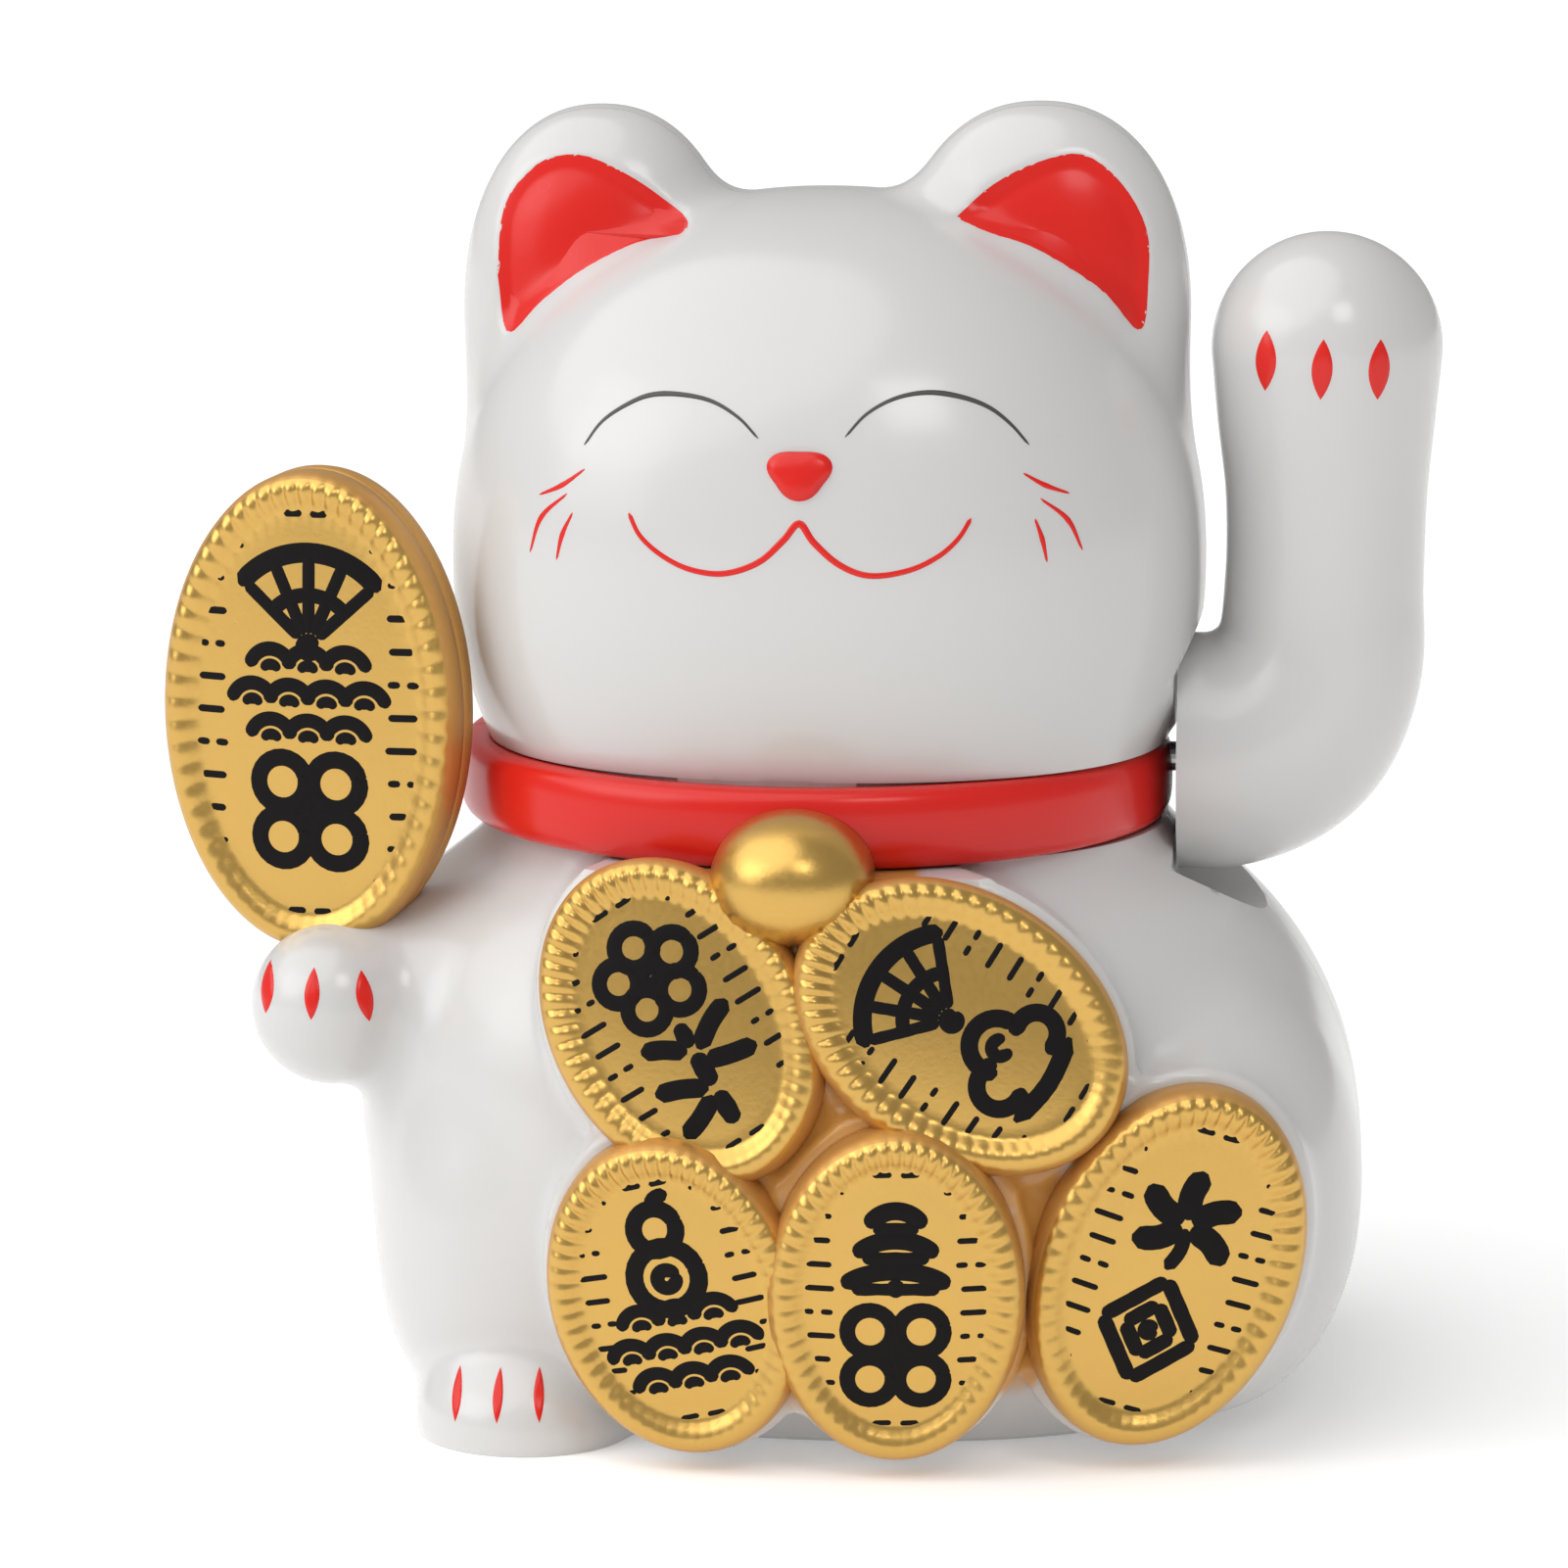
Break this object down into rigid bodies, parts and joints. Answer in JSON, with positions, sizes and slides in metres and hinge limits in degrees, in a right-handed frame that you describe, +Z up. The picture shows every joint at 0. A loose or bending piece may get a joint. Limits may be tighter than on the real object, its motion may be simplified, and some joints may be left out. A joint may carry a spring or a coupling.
{
  "type": "beckoning cat figurine",
  "caption": "Seated lucky cat in white plastic with a swinging raised arm, red collar, gold bell, oval fluted coins on belly and in paw, and a battery base.",
  "frame": {"origin": "on the resting surface, straight below the middle of the head, between the arm axle's ends", "axes": "+Z up, the cat faces -Y, +X towards the side of the waving arm; the arm axle lies along X"},
  "size_m": [0.1068, 0.0803, 0.1094],
  "materials": {
    "white_plastic": "moulded gloss white ABS",
    "red_paint": "glossy red paint",
    "gold_paint": "satin gold paint",
    "steel": "bright plated steel",
    "black_plastic": "black moulded plastic",
    "natural_plastic": "natural acetal",
    "magnet": "nickel plated",
    "cell_wrap": "plain printed sleeve",
    "board": "green solder mask",
    "copper": "enamelled copper wire",
    "blue_sleeve": "plain sleeve",
    "resistor_body": "lacquered",
    "red_insulation": "insulation",
    "black_insulation": "insulation"
  },
  "bodies": {
    "body": {"front_shell": "white_plastic", "rear_shell": "white_plastic", "collar_front": "red_paint", "collar_rear": "red_paint", "bell": "gold_paint", "belly_coin_upper_left": "gold_paint", "belly_coin_upper_right": "gold_paint", "belly_coin_lower_left": "gold_paint", "belly_coin_lower_middle": "gold_paint", "belly_coin_lower_right": "gold_paint", "held_coin_front": "gold_paint", "held_coin_rear": "gold_paint", "pivot_frame": "black_plastic", "base_plate": "white_plastic", "battery_cell": "cell_wrap", "positive_contact": "steel", "negative_spring": "steel", "base_screw_1": "steel", "base_screw_2": "steel", "base_screw_3": "steel", "circuit_board": "board", "board_screw_1": "steel", "board_screw_2": "steel", "coil_bobbin": "black_plastic", "coil_winding": "copper", "driver_chip": "black_plastic", "capacitor": "blue_sleeve", "resistor": "resistor_body", "switch_body": "steel", "red_wire": "red_insulation", "black_wire": "black_insulation"},
    "arm": {"arm_front_half": "white_plastic", "arm_rear_half": "white_plastic", "arm_axle": "steel", "axle_clip": "steel", "pendulum_lever": "natural_plastic", "pendulum_magnet": "magnet", "counterweight": "steel"},
    "door": {"battery_door": "white_plastic"},
    "switch": {"switch_knob": "black_plastic"}
  },
  "joints": [
    {"name": "arm_swing", "type": "hinge", "parent": "body", "child": "arm", "pos_m": [0.0299, 0, 0.054], "axis": [1, 0, 0], "range_deg": [-22, 22]},
    {"name": "battery_door_hinge", "type": "hinge", "parent": "body", "child": "door", "pos_m": [0.0262, 0.0113, 0.00105], "axis": [0, -1, 0], "range_deg": [0, 80]},
    {"name": "power_switch", "type": "slide", "parent": "body", "child": "switch", "axis": [1, 0, 0], "range_m": [0, 0.002]}
  ]
}
